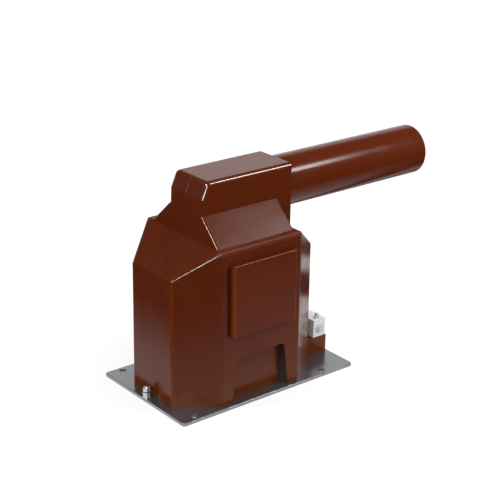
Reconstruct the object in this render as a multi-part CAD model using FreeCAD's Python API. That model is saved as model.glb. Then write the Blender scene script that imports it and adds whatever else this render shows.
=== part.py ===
import FreeCAD, Part
import math
import os

# Cast resin voltage transformer with a built-in fuse tube, in millimetres.
# X runs along the fuse tube, Y across the body and Z up. The origin is the middle
# of the underside of the steel base plate.

V = FreeCAD.Vector
X = V(1, 0, 0)
Y = V(0, 1, 0)
Z = V(0, 0, 1)

# Lower body of the casting, an octagon with long sides
body_length = 322.5
body_width = 227.0
end_face_width = 118.0
side_face_length = 177.0
body_draft = 0.5
end_face_height = 240.0
side_face_height = 295.0
body_edge_radius = 5.0

# Base plate, which stands out round the body, and its four mounting holes
plate_near_margin = 20.75
plate_far_margin = 56.75
plate_side_margin = 11.5
plate_thickness = 6.0
plate_corner_radius = 5.0
plate_edge_radius = 0.8
mount_inset_from_body = 11.25
mount_inset_from_side = 12.5
mount_hole_diameter = 13.0

# Shoulders and head block above the lower body
shoulder_inset = 16.5
shoulder_height = 46.0
shoulder_far_setback = 4.0
shoulder_edge_radius = 4.0
head_height = 401.0
near_end_lean = 2.5
head_overhang = 28.5
head_edge_radius = 9.0
head_facet_height = 30.0
head_facet_depth = 13.0
joint_overlap = 10.0

# Raised pad and foot recess on each long side
pad_side_margin = 16.5
pad_top_margin = 27.5
pad_bottom = 131.5
pad_proud = 9.5
pad_edge_radius = 2.2
recess_side_margin = 22.5
recess_side_slant = 12.0
recess_back_slant = 13.0
recess_height = 85.0
recess_depth = 15.5
recess_corner_radius = 9.0

# Fuse tube, its bore and the brass ring cast into its mouth
tube_diameter = 97.0
tube_length = 351.0
tube_end_radius = 4.0
bore_diameter = 42.0
ring_diameter = 66.0
ring_length = 30.0
ring_thread_diameter = 50.0

# Fuse link and its contacts
near_bore_wall = 29.0
fuse_diameter = 30.0
fuse_cap_diameter = 34.0
fuse_cap_length = 24.0
fuse_cap_wall = 2.0
fuse_rounding = 1.5
socket_wall = 3.7
socket_grip_length = 18.0
socket_floor = 8.0
socket_stem_diameter = 8.0
socket_stem_length = 60.0
fit_clearance = 0.3

# End cap that closes the tube and takes the high-voltage lead
cap_flange_diameter = 62.0
cap_flange_thickness = 6.0
cap_thread_length = 22.0
cap_spigot_length = 12.0
cap_spanner_width = 54.0
cap_chamfer = 1.0
gasket_thickness = 1.5
lead_thread_diameter = 10.0
lead_thread_depth = 20.0
contact_space = 18.0
spring_wire_diameter = 3.0
spring_turns = 4.0

# Terminal plinth, moulded on the foot of the body under the tube
plinth_width = 105.0
plinth_reach = 53.25
plinth_height = 35.5
plinth_edge_radius = 2.5
terminal_count = 5
terminal_pitch = 15.0
terminal_inset = 18.0
terminal_screw_diameter = 6.0
terminal_screw_length = 16.0
terminal_screw_head_diameter = 11.0
terminal_screw_head_height = 4.2
terminal_slot_width = 1.4
terminal_slot_depth = 1.6
terminal_washer_diameter = 12.0
terminal_washer_thickness = 1.6
terminal_spring_washer_diameter = 10.6
terminal_spring_washer_thickness = 1.5
terminal_clamp_size = 12.6
terminal_clamp_thickness = 2.0
insert_wall = 2.0
insert_collar = 1.0
insert_extra_depth = 3.0

# Clear cover over the terminals
cover_length_x = 30.5
cover_setback = 0.5
cover_height = 35.5
cover_wall = 2.0
cover_edge_radius = 2.0
cover_screw_inset = 9.5
cover_screw_diameter = 4.0
cover_screw_thread = 12.0
cover_screw_head_diameter = 9.0
cover_screw_head_height = 9.0
cover_screw_slot_width = 2.0
cover_screw_slot_depth = 2.5
cover_screw_chamfer = 0.8
seal_wire_hole_diameter = 1.6
cover_post_diameter = 8.5
grommet_diameter = 19.0
grommet_height = 16.5
grommet_flange = 1.8
grommet_groove = 1.5
grommet_dome = 2.0

# Earthing stud on the plate
earth_stud_inset = 8.0
earth_diameter = 8.0
earth_nut_across = 13.0
earth_nut_height = 6.5
earth_washer_diameter = 16.0
earth_washer_thickness = 1.6
earth_spring_washer_diameter = 13.5
earth_spring_washer_thickness = 2.0
earth_stud_end = 2.2

# Countersunk screws that hold the casting on the plate, and their inserts
body_screw_inset_x = 46.25
body_screw_inset_y = 19.0
body_screw_diameter = 8.0
body_screw_head_diameter = 16.0
body_screw_head_height = 4.4
body_screw_length = 28.0
body_screw_socket_across = 5.0
body_screw_socket_depth = 2.6

# Angles of nuts and spring washers, and how near a point must be to count as on a face
nut_corner_angle = 30.0
washer_split_angle = 30.0
near = 0.01

# Lengths and places that follow from the sizes above, from the plate up
plate_length = body_length + plate_near_margin + plate_far_margin
plate_width = body_width + 2 * plate_side_margin
plate_top = plate_thickness
body_centre_x = -plate_length / 2 + plate_near_margin + body_length / 2
body_end_x = body_centre_x + body_length / 2
mount_spacing_x = body_length - 2 * mount_inset_from_body
mount_spacing_y = plate_width - 2 * mount_inset_from_side
body_screw_spacing_x = body_length - 2 * body_screw_inset_x
body_screw_spacing_y = end_face_width - 2 * body_screw_inset_y
earth_stud_x = -plate_length / 2 + earth_stud_inset

end_face_top = plate_top + end_face_height
side_face_top = plate_top + side_face_height
pad_length = side_face_length - 2 * pad_side_margin
pad_height = side_face_height - pad_bottom - pad_top_margin
recess_foot_length = side_face_length - 2 * recess_side_margin
recess_top_length = recess_foot_length - 2 * recess_side_slant
recess_back_length = recess_foot_length - 2 * recess_back_slant

shoulder_width = body_width - 2 * shoulder_inset
shoulder_top = side_face_top + shoulder_height
shoulder_start_x = body_centre_x - side_face_length / 2
shoulder_end_x = body_centre_x + side_face_length / 2 - shoulder_far_setback
head_width = tube_diameter
head_top = plate_top + head_height
head_start_x = shoulder_start_x + near_end_lean
head_end_x = body_centre_x + side_face_length / 2 + head_overhang

tube_end_x = head_end_x + tube_length
tube_axis_z = head_top - tube_diameter / 2
tube_axis = V(0, 0, tube_axis_z)
fuse_end_x = tube_end_x - cap_thread_length - cap_spigot_length - contact_space
bore_start_x = head_start_x + near_bore_wall
fuse_start_x = bore_start_x + socket_floor
fuse_length = fuse_end_x - fuse_start_x

plinth_end_x = body_end_x + plinth_reach
plinth_top = plate_top + plinth_height
terminal_x = plinth_end_x - terminal_inset
cover_width = plinth_width - 2 * cover_setback
cover_screw_spacing = plinth_width - 2 * cover_screw_inset


def rod(diameter, length, start, along=Z):
    return Part.makeCylinder(diameter / 2, length, start, along)


def ring(outer, inner, length, start, along=Z):
    return rod(outer, length, start, along).cut(rod(inner, length, start, along))


def hexagon(across, length, start):
    corner = across / math.sqrt(3)
    angles = [math.radians(60 * k) for k in range(7)]
    points = [start + V(corner * math.cos(angle), corner * math.sin(angle), 0) for angle in angles]
    return Part.Face(Part.makePolygon(points)).extrude(Z * length)


def nut(across, height, bore, start):
    """Hexagon nut with its corners turned off at both ends."""
    solid = hexagon(across, height, start)
    corner = across / math.sqrt(3)
    turned = corner - across / 2
    blank = rod(2 * corner, height, start)
    blank = blank.makeChamfer(turned * math.tan(math.radians(nut_corner_angle)), turned, round_edges(blank))
    return solid.common(blank).cut(rod(bore, height, start))


def round_edges(solid):
    """The full circles of a turned solid."""
    return [e for e in solid.Edges if isinstance(e.Curve, Part.Circle)]


def edges_where(solid, test):
    """Edges of a solid whose two ends and middle all pass a test on a point."""
    chosen = []
    for edge in solid.Edges:
        middle = edge.valueAt((edge.FirstParameter + edge.LastParameter) / 2)
        points = [v.Point for v in edge.Vertexes] + [middle]
        if all(test(p) for p in points):
            chosen.append(edge)
    return chosen


def mirrored(solid):
    """The same solid on the other long side."""
    return solid.mirror(V(0, 0, 0), Y)


def octagon(height, inset):
    """Plan of the lower body at one height, drawn in from its foot by inset."""
    half_length = body_length / 2 - inset
    half_side = side_face_length / 2
    half_end = end_face_width / 2 - inset
    half_width = body_width / 2 - inset
    corners = [(-half_length, -half_end), (-half_side, -half_width), (half_side, -half_width),
               (half_length, -half_end), (half_length, half_end), (half_side, half_width),
               (-half_side, half_width), (-half_length, half_end)]
    points = [V(body_centre_x + x, y, height) for x, y in corners]
    return Part.makePolygon(points + points[:1])


def end_slope(sign):
    """Wedge that slopes one end of the lower body off, from the end face to the full-width top."""
    outer = sign * body_length / 2
    inner = sign * side_face_length / 2
    run = outer - inner
    rise = side_face_height - end_face_height
    points = [V(body_centre_x + outer + run, 0, end_face_top - rise),
              V(body_centre_x + inner, 0, side_face_top),
              V(body_centre_x + inner, 0, side_face_top + rise),
              V(body_centre_x + outer + run, 0, side_face_top + rise)]
    face = Part.Face(Part.makePolygon(points + points[:1]))
    face.translate(Y * -body_width)
    return face.extrude(Y * 2 * body_width)


def lower_body():
    body = Part.makeLoft([octagon(plate_top, 0), octagon(side_face_top, body_draft)], True, True)
    for sign in (-1, 1):
        body = body.cut(end_slope(sign))
    outer_edges = [e for e in body.Edges if max(v.Point.z for v in e.Vertexes) > plate_top + 1]
    return body.makeFillet(body_edge_radius, outer_edges)


def near_end_wedge():
    """What lies in front of the near end face, which leans a little from the shoulders to the head."""
    bottom = end_face_top
    slant = (head_start_x - shoulder_start_x) / (head_top - head_facet_height - side_face_top)
    bottom_x = shoulder_start_x - slant * (side_face_top - bottom)
    top_x = shoulder_start_x + slant * (head_top - side_face_top)
    outside_x = shoulder_start_x - head_width
    points = [V(bottom_x, 0, bottom), V(top_x, 0, head_top),
              V(outside_x, 0, head_top), V(outside_x, 0, bottom)]
    face = Part.Face(Part.makePolygon(points + points[:1]))
    face.translate(Y * -body_width)
    return face.extrude(Y * 2 * body_width)


def shoulders():
    """Saddle under the head block, sloping up from the rim on both long sides."""
    low = shoulder_width / 2
    high = head_width / 2
    outline = [(-low, side_face_top - joint_overlap), (-low, side_face_top), (-high, shoulder_top),
               (high, shoulder_top), (low, side_face_top), (low, side_face_top - joint_overlap)]
    start = shoulder_start_x - joint_overlap
    points = [V(start, y, z) for y, z in outline]
    saddle = Part.Face(Part.makePolygon(points + points[:1])).extrude(X * (shoulder_end_x - start))
    saddle = saddle.cut(near_end_wedge())
    ridges = [e for e in saddle.Edges
              if abs(e.tangentAt(e.FirstParameter).y) > 0.3 and abs(e.tangentAt(e.FirstParameter).z) > 0.3]
    return saddle.makeFillet(shoulder_edge_radius, ridges)


def head_block():
    """Long block on top, with its near end slanted off under the roof edge."""
    start = shoulder_start_x - joint_overlap
    half_width = head_width / 2
    height = head_top - end_face_top
    block = Part.makeBox(head_end_x - start, head_width, height, V(start, -half_width, end_face_top))
    facet = Part.makePolygon([V(head_start_x, -head_width, head_top - head_facet_height),
                              V(head_start_x + head_facet_depth, -head_width, head_top),
                              V(start, -head_width, head_top),
                              V(start, -head_width, head_top - head_facet_height),
                              V(head_start_x, -head_width, head_top - head_facet_height)])
    block = block.cut([near_end_wedge(), Part.Face(facet).extrude(Y * 2 * head_width)])
    facet_end_x = head_start_x + head_facet_depth
    near_end = edges_where(block, lambda p: p.x < facet_end_x + near and abs(p.y) > half_width - near)
    long_edges = edges_where(block, lambda p: p.z > head_top - near and abs(p.y) > half_width - near)
    roof_edge = edges_where(block, lambda p: p.z > head_top - near and p.x < facet_end_x + near)
    return block.makeFillet(head_edge_radius, near_end + long_edges + roof_edge)


def fuse_tube():
    start = head_end_x - joint_overlap
    tube = rod(tube_diameter, tube_end_x - start, tube_axis + X * start, X)
    outer = [e for e in round_edges(tube) if e.Curve.Center.x > tube_end_x - near]
    return tube.makeFillet(tube_end_radius, outer)


def side_pad():
    half_width = body_width / 2
    pad = Part.makeBox(pad_length, 3 * pad_proud, pad_height,
                       V(body_centre_x - pad_length / 2, -half_width - pad_proud, plate_top + pad_bottom))
    face_edges = edges_where(pad, lambda p: p.y < -half_width - pad_proud + near)
    corners = [e for e in pad.Edges if abs(e.tangentAt(e.FirstParameter).y) > 0.99]
    return pad.makeFillet(pad_edge_radius, face_edges + corners)


def recess_outline(y, foot_length, top_length, height):
    foot = plate_top - 1
    top = plate_top + height
    corners = [(-foot_length / 2, foot), (foot_length / 2, foot),
               (top_length / 2, top), (-top_length / 2, top)]
    points = [V(body_centre_x + x, y, z) for x, z in corners]
    return Part.makePolygon(points + points[:1])


def foot_recess():
    """Pocket in the foot of a long side, wider at the plate and narrowing towards its back wall."""
    face_y = -body_width / 2 - 1
    back_y = -body_width / 2 + recess_depth
    outlines = [recess_outline(face_y, recess_foot_length, recess_top_length, recess_height),
                recess_outline(back_y, recess_back_length, recess_back_length, recess_height)]
    pocket = Part.makeLoft(outlines, True, True)
    top_corners = edges_where(pocket, lambda p: abs(p.z - plate_top - recess_height) < near
                              and abs(p.x - body_centre_x) > recess_back_length / 2 - near)
    top_corners = [e for e in top_corners if abs(e.tangentAt(e.FirstParameter).y) > 0.5]
    return pocket.makeFillet(recess_corner_radius, top_corners)


def terminal_plinth():
    start = body_end_x - joint_overlap
    corner = V(start, -plinth_width / 2, plate_top)
    plinth = Part.makeBox(plinth_end_x - start, plinth_width, plinth_height, corner)
    rounded = edges_where(plinth, lambda p: p.z > plinth_top - near and p.x > start + near)
    rounded += edges_where(plinth, lambda p: p.x > plinth_end_x - near and abs(p.y) > plinth_width / 2 - near)
    return plinth.makeFillet(plinth_edge_radius, rounded)


def row_of(count, pitch):
    return [(k - (count - 1) / 2) * pitch for k in range(count)]


terminal_places = [V(terminal_x, y, plinth_top) for y in row_of(terminal_count, terminal_pitch)]
cover_screw_places = [V(terminal_x, y, plinth_top) for y in row_of(2, cover_screw_spacing)]
body_screw_places = [V(body_centre_x + x, y, 0)
                     for x in row_of(2, body_screw_spacing_x) for y in row_of(2, body_screw_spacing_y)]
mount_hole_places = [V(body_centre_x + x, y, 0)
                     for x in row_of(2, mount_spacing_x) for y in row_of(2, mount_spacing_y)]


def insert(bore, depth, top, down):
    """Knurled brass insert with a collar flush with the resin, reaching down into it."""
    outer = bore + 2 * insert_wall
    length = depth + insert_extra_depth
    sleeve = rod(outer, length, top, down)
    collar = rod(outer + 2 * insert_collar, insert_collar, top, down)
    foot = rod(outer + 2 * insert_collar, insert_collar, top + down * (length - insert_collar), down)
    return sleeve.fuse([collar, foot]).cut(rod(bore, depth, top, down)).removeSplitter()


def joined(solids):
    return Part.makeCompound(solids)


def fused_all(first, others):
    return first.fuse(others).removeSplitter()


def body_inserts():
    return joined([insert(body_screw_diameter, body_screw_length - plate_thickness, place + Z * plate_top, Z)
                   for place in body_screw_places])


def terminal_inserts():
    return joined([insert(terminal_screw_diameter, terminal_screw_length, place, -Z)
                   for place in terminal_places])


def cover_inserts():
    return joined([insert(cover_screw_diameter, cover_screw_thread, place, -Z)
                   for place in cover_screw_places])


def fuse_socket():
    """Brass cup cast into the blind end of the bore, with a stem that the winding lead is brazed to."""
    outer = fuse_cap_diameter + 2 * socket_wall
    length = socket_floor + socket_grip_length
    cup = rod(outer, length, tube_axis + X * bore_start_x, X)
    cup = cup.cut(rod(fuse_cap_diameter + fit_clearance, socket_grip_length, tube_axis + X * fuse_start_x, X))
    stem_start = tube_axis + X * (bore_start_x + socket_floor / 2)
    stem = rod(socket_stem_diameter, socket_stem_length, stem_start, -Z)
    return fused_all(cup, [stem])


def tube_ring():
    """Threaded brass ring cast into the mouth of the tube, with a groove that keys it into the resin."""
    start = tube_axis + X * (tube_end_x - ring_length)
    sleeve = ring(ring_diameter, ring_thread_diameter, ring_length, start, X)
    groove_start = start + X * ring_length / 3
    groove = ring(ring_diameter, ring_diameter - insert_wall, ring_length / 3, groove_start, X)
    return sleeve.cut(groove)


def hollows():
    """Everything that the casting leaves room for: the bore, the foot recesses and the cast-in brass."""
    solids = [foot_recess(), mirrored(foot_recess()), fuse_socket(), tube_ring()]
    solids.append(rod(bore_diameter, tube_end_x - fuse_start_x, tube_axis + X * fuse_start_x, X))
    solids.append(rod(ring_thread_diameter, ring_length, tube_axis + X * (tube_end_x - ring_length), X))
    for inserts in (body_inserts(), terminal_inserts(), cover_inserts()):
        solids += inserts.Solids
    for place in body_screw_places:
        solids.append(rod(body_screw_diameter, body_screw_length - plate_thickness, place + Z * plate_top))
    for place in terminal_places:
        solids.append(rod(terminal_screw_diameter, terminal_screw_length, place, -Z))
    for place in cover_screw_places:
        solids.append(rod(cover_screw_diameter, cover_screw_thread, place, -Z))
    return solids


def resin_body():
    """The casting: body, shoulders, head, tube, pads and plinth in one piece."""
    raised = [shoulders(), head_block(), fuse_tube(), side_pad(), mirrored(side_pad()), terminal_plinth()]
    body = fused_all(lower_body(), raised)
    for solid in hollows():
        body = body.cut(solid)
    return body


def countersink(place, extra):
    """Cone of a countersunk head with its flat face on the underside of the plate."""
    head = body_screw_head_diameter / 2 + extra
    neck = body_screw_diameter / 2 + extra
    return Part.makeCone(head, neck, body_screw_head_height, place, Z)


def base_plate():
    """Sheet steel with its upper rim rounded and its lower rim left sharp, as punching leaves them."""
    corner = V(-plate_length / 2, -plate_width / 2, 0)
    plate = Part.makeBox(plate_length, plate_width, plate_thickness, corner)
    corners = [e for e in plate.Edges if abs(e.tangentAt(e.FirstParameter).z) > 0.99]
    plate = plate.makeFillet(plate_corner_radius, corners)
    plate = plate.makeFillet(plate_edge_radius, edges_where(plate, lambda p: p.z > plate_top - near))
    holes = [rod(mount_hole_diameter, plate_thickness, place) for place in mount_hole_places]
    holes += [rod(body_screw_diameter + 2 * fit_clearance, plate_thickness, place)
              for place in body_screw_places]
    holes += [countersink(place, fit_clearance) for place in body_screw_places]
    holes.append(rod(earth_diameter, plate_thickness, V(earth_stud_x, 0, 0)))
    return plate.cut(holes)


def body_screw(place):
    screw = rod(body_screw_diameter, body_screw_length, place)
    screw = fused_all(screw, [countersink(place, 0)])
    return screw.cut(hexagon(body_screw_socket_across, body_screw_socket_depth, place))


def body_screws():
    return joined([body_screw(place) for place in body_screw_places])


earth_base = V(earth_stud_x, 0, plate_top)
earth_lower_nut = earth_base + Z * earth_washer_thickness
earth_upper_washer = earth_lower_nut + Z * earth_nut_height
earth_spring = earth_upper_washer + Z * earth_washer_thickness
earth_upper_nut = earth_spring + Z * earth_spring_washer_thickness
earth_top = earth_upper_nut + Z * (earth_nut_height + earth_stud_end)


def earth_stud():
    """Threaded stud pressed into the plate from below, with a rounded end."""
    stud = rod(earth_diameter, earth_top.z, V(earth_stud_x, 0, 0))
    tip = [e for e in round_edges(stud) if e.Curve.Center.z > earth_top.z - near]
    return stud.makeFillet(earth_stud_end / 2, tip)


def earth_washers():
    return joined([ring(earth_washer_diameter, earth_diameter, earth_washer_thickness, place)
                   for place in (earth_base, earth_upper_washer)])


def split_washer(outer, bore, thickness, place):
    """Spring washer with its slanted cut."""
    washer = ring(outer, bore, thickness, place)
    gap = Part.makeBox(outer, thickness / 2, 3 * thickness, V(0, -thickness / 4, -thickness))
    gap.rotate(V(0, 0, thickness / 2), X, washer_split_angle)
    gap.translate(place)
    return washer.cut(gap)


def earth_spring_washer():
    return split_washer(earth_spring_washer_diameter, earth_diameter, earth_spring_washer_thickness,
                        earth_spring)


def earth_nuts():
    return joined([nut(earth_nut_across, earth_nut_height, earth_diameter, place)
                   for place in (earth_lower_nut, earth_upper_nut)])


clamp_base = terminal_clamp_thickness
spring_base = clamp_base + terminal_washer_thickness
head_base = spring_base + terminal_spring_washer_thickness


def terminal_screw(place):
    """Slotted cheese-head screw through its washers into the insert."""
    shank = rod(terminal_screw_diameter, terminal_screw_length + head_base, place - Z * terminal_screw_length)
    head = rod(terminal_screw_head_diameter, terminal_screw_head_height, place + Z * head_base)
    rim = [e for e in round_edges(head) if e.Curve.Center.z > place.z + head_base + near]
    head = head.makeFillet(terminal_slot_depth / 2, rim)
    slot_start = place + V(-terminal_screw_head_diameter / 2, -terminal_slot_width / 2,
                           head_base + terminal_screw_head_height - terminal_slot_depth)
    slot = Part.makeBox(terminal_screw_head_diameter, terminal_slot_width, terminal_slot_depth, slot_start)
    return fused_all(shank, [head]).cut(slot)


def terminal_screws():
    return joined([terminal_screw(place) for place in terminal_places])


def terminal_clamp(place):
    """Square clamp plate that keeps the wire under the screw."""
    size = terminal_clamp_size
    plate = Part.makeBox(size, size, terminal_clamp_thickness, place - V(size / 2, size / 2, 0))
    corners = [e for e in plate.Edges if abs(e.tangentAt(e.FirstParameter).z) > 0.99]
    plate = plate.makeFillet(terminal_clamp_thickness / 2, corners)
    return plate.cut(rod(terminal_screw_diameter, terminal_clamp_thickness, place))


def terminal_clamps():
    return joined([terminal_clamp(place) for place in terminal_places])


def terminal_washers():
    return joined([ring(terminal_washer_diameter, terminal_screw_diameter, terminal_washer_thickness,
                        place + Z * clamp_base) for place in terminal_places])


def terminal_spring_washers():
    return joined([split_washer(terminal_spring_washer_diameter, terminal_screw_diameter,
                                terminal_spring_washer_thickness, place + Z * spring_base)
                   for place in terminal_places])


cover_start_x = terminal_x - cover_length_x / 2
cover_top = plinth_top + cover_height
grommet_places = [V(terminal_x, side * cover_width / 2, plinth_top + grommet_height) for side in (-1, 1)]


def cover_post(place):
    height = cover_height - cover_wall
    return rod(cover_post_diameter, height, place)


def terminal_cover():
    """Clear box open at the bottom, with a post for each screw and a cable entry at each end."""
    corner = V(cover_start_x, -cover_width / 2, plinth_top)
    cover = Part.makeBox(cover_length_x, cover_width, cover_height, corner)
    rounded = edges_where(cover, lambda p: p.z > cover_top - near)
    rounded += [e for e in cover.Edges if abs(e.tangentAt(e.FirstParameter).z) > 0.99]
    cover = cover.makeFillet(cover_edge_radius, rounded)
    inside = Part.makeBox(cover_length_x - 2 * cover_wall, cover_width - 2 * cover_wall,
                          cover_height - cover_wall, corner + V(cover_wall, cover_wall, 0))
    cover = cover.cut(inside)
    cover = fused_all(cover, [cover_post(place) for place in cover_screw_places])
    for place in cover_screw_places:
        cover = cover.cut(rod(cover_screw_diameter + 2 * fit_clearance, cover_height, place))
    for place in grommet_places:
        side = math.copysign(1, place.y)
        inner = place - Y * side * cover_wall
        cover = cover.cut(rod(grommet_diameter - 2 * grommet_groove, cover_wall, inner, Y * side))
    return cover


def cover_grommet(place):
    """Blind rubber grommet snapped into the cable entry, with a flange on both sides of the wall."""
    side = math.copysign(1, place.y)
    out = Y * side
    inner = place - out * (cover_wall + grommet_flange)
    neck = rod(grommet_diameter - 2 * grommet_groove, cover_wall + 2 * grommet_flange, inner, out)
    inside = rod(grommet_diameter, grommet_flange, inner, out)
    outside = rod(grommet_diameter, grommet_flange, place, out)
    rim = [e for e in round_edges(outside) if abs(e.Curve.Center.y) > abs(place.y) + near]
    outside = outside.makeFillet(grommet_flange / 2, rim)
    dome = rod(grommet_diameter / 2, grommet_flange + grommet_dome, place, out)
    return fused_all(neck, [inside, outside, dome])


def cover_grommets():
    return joined([cover_grommet(place) for place in grommet_places])


def cover_screw(place):
    """Tall slotted screw with a hole for the seal wire across its head."""
    head_start = V(place.x, place.y, cover_top)
    shank_length = cover_height + cover_screw_thread
    shank = rod(cover_screw_diameter, shank_length, head_start - Z * shank_length)
    head = rod(cover_screw_head_diameter, cover_screw_head_height, head_start)
    rim = [e for e in round_edges(head) if e.Curve.Center.z > cover_top + near]
    head = head.makeChamfer(cover_screw_chamfer, rim)
    wire_start = head_start + V(0, -cover_screw_head_diameter / 2, cover_screw_head_height / 2)
    wire_hole = rod(seal_wire_hole_diameter, cover_screw_head_diameter, wire_start, Y)
    slot_start = head_start + V(-cover_screw_head_diameter / 2, -cover_screw_slot_width / 2,
                                cover_screw_head_height - cover_screw_slot_depth)
    slot = Part.makeBox(cover_screw_head_diameter, cover_screw_slot_width, cover_screw_slot_depth, slot_start)
    return fused_all(shank, [head]).cut([wire_hole, slot])


def cover_screws():
    return joined([cover_screw(place) for place in cover_screw_places])


def fuse_link():
    """Ceramic fuse barrel between its two caps."""
    start = tube_axis + X * (fuse_start_x + fuse_cap_wall)
    return rod(fuse_diameter, fuse_length - 2 * fuse_cap_wall, start, X)


def fuse_cap(start_x, open_side):
    cap = rod(fuse_cap_diameter, fuse_cap_length, tube_axis + X * start_x, X)
    closed_x = start_x if open_side > 0 else start_x + fuse_cap_length
    rim = [e for e in round_edges(cap) if abs(e.Curve.Center.x - closed_x) < near]
    cap = cap.makeFillet(fuse_rounding, rim)
    shift = fuse_cap_wall if open_side > 0 else 0
    hollow = rod(fuse_diameter, fuse_cap_length - fuse_cap_wall, tube_axis + X * (start_x + shift), X)
    return cap.cut(hollow)


def fuse_caps():
    return joined([fuse_cap(fuse_start_x, 1), fuse_cap(fuse_end_x - fuse_cap_length, -1)])


def contact_spring():
    """Compression spring between the fuse cap and the end cap."""
    coil_diameter = fuse_cap_diameter - 2 * spring_wire_diameter
    pitch = (contact_space - spring_wire_diameter) / spring_turns
    helix = Part.makeHelix(pitch, pitch * spring_turns, coil_diameter / 2)
    first = V(coil_diameter / 2, 0, 0)
    section = Part.Wire(Part.makeCircle((spring_wire_diameter - fit_clearance) / 2, first, Y))
    coil = Part.Wire(helix.Edges).makePipeShell([section], True, False)
    coil.rotate(V(0, 0, 0), Y, 90)
    coil.translate(tube_axis + X * (fuse_end_x + spring_wire_diameter / 2))
    return coil


def end_cap():
    """Brass plug screwed into the ring, with spanner flats and a tapped hole for the lead."""
    face_x = tube_end_x + gasket_thickness
    flange = rod(cap_flange_diameter, cap_flange_thickness, tube_axis + X * face_x, X)
    outer_rim = [e for e in round_edges(flange) if e.Curve.Center.x > face_x + near]
    flange = flange.makeChamfer(cap_chamfer, outer_rim)
    for side in (-1, 1):
        flat_y = cap_spanner_width / 2 if side > 0 else -cap_spanner_width
        flat = Part.makeBox(cap_flange_thickness, cap_spanner_width / 2, cap_flange_diameter,
                            V(face_x, flat_y, tube_axis_z - cap_flange_diameter / 2))
        flange = flange.cut(flat)
    thread_start = tube_axis + X * (tube_end_x - cap_thread_length)
    thread = rod(ring_thread_diameter, cap_thread_length + gasket_thickness, thread_start, X)
    spigot_start = thread_start - X * cap_spigot_length
    spigot = rod(bore_diameter - 2 * fit_clearance, cap_spigot_length, spigot_start, X)
    plug = fused_all(flange, [thread, spigot])
    hole_start = tube_axis + X * (face_x + cap_flange_thickness - lead_thread_depth)
    return plug.cut(rod(lead_thread_diameter, lead_thread_depth, hole_start, X))


def end_gasket():
    return ring(cap_flange_diameter, ring_thread_diameter, gasket_thickness, tube_axis + X * tube_end_x, X)


NODES = {
    "resin_body": resin_body,
    "base_plate": base_plate,
    "body_screws": body_screws,
    "body_inserts": body_inserts,
    "earth_stud": earth_stud,
    "earth_washers": earth_washers,
    "earth_spring_washer": earth_spring_washer,
    "earth_nuts": earth_nuts,
    "terminal_inserts": terminal_inserts,
    "terminal_screws": terminal_screws,
    "terminal_clamps": terminal_clamps,
    "terminal_washers": terminal_washers,
    "terminal_spring_washers": terminal_spring_washers,
    "terminal_cover": terminal_cover,
    "cover_inserts": cover_inserts,
    "cover_screws": cover_screws,
    "cover_grommets": cover_grommets,
    "fuse_link": fuse_link,
    "fuse_caps": fuse_caps,
    "fuse_socket": fuse_socket,
    "contact_spring": contact_spring,
    "tube_ring": tube_ring,
    "end_cap": end_cap,
    "end_gasket": end_gasket,
}


def main():
    os.makedirs("parts", exist_ok=True)
    for name, make in NODES.items():
        shape = make()
        shape.exportStep("parts/" + name + ".step")
        state = "valid" if shape.isValid() else "INVALID"
        print(name, len(shape.Solids), "solids", round(shape.Volume), "mm3", state)


if __name__ == "__main__":
    main()
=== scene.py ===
"""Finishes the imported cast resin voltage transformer: surfaces, fine details, studio and camera.

Lengths are in metres in the row's frame: X along the fuse tube, Y across the body, Z up,
with the origin in the middle of the underside of the base plate.
"""

import math

import bpy
import numpy as np
from mathutils import Matrix, Quaternion, Vector


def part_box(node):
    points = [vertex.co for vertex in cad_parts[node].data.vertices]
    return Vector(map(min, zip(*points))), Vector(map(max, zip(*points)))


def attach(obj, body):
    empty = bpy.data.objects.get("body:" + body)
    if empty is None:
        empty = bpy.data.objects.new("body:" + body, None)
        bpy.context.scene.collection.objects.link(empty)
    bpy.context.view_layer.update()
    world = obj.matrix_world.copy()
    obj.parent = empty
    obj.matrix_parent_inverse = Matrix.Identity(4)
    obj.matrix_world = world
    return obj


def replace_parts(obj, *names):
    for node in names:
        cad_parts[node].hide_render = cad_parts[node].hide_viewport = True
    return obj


bl_info = {
    "name": "Resin voltage transformer finish",
    "version": (1, 0, 0),
    "blender": (4, 5, 0),
    "location": "3D View > Sidebar > Transformer",
    "description": "Surfaces, fine details and studio for a cast resin voltage transformer",
    "category": "Object",
}

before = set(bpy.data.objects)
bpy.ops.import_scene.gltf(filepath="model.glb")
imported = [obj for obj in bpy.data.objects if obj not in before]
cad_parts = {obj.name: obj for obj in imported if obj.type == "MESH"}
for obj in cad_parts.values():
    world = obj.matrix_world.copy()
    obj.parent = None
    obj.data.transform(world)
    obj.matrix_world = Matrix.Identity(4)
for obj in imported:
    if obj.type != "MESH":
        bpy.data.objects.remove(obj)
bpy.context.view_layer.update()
MM = 0.001
FULL_TURN = 2 * math.pi


# Small helpers for meshes

def surface_piece(name, points, faces, smooth=True):
    """A mesh object at the origin from an array of points and a list of faces."""
    mesh = bpy.data.meshes.new(name)
    mesh.from_pydata(points.tolist(), [], faces)
    mesh.polygons.foreach_set("use_smooth", [smooth] * len(mesh.polygons))
    mesh.update()
    piece = bpy.data.objects.new(name, mesh)
    bpy.context.scene.collection.objects.link(piece)
    return piece


def grid_faces(rows, columns):
    """Quads of a grid whose columns close on themselves, with one polygon over each open end."""
    across, along = np.meshgrid(np.arange(columns), np.arange(rows - 1))
    here = along * columns + across
    beside = along * columns + (across + 1) % columns
    quads = np.stack([here, beside, beside + columns, here + columns], axis=-1).reshape(-1, 4)
    first_end = list(range(columns))[::-1]
    last_end = list(range((rows - 1) * columns, rows * columns))
    return quads.tolist() + [first_end, last_end]


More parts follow.
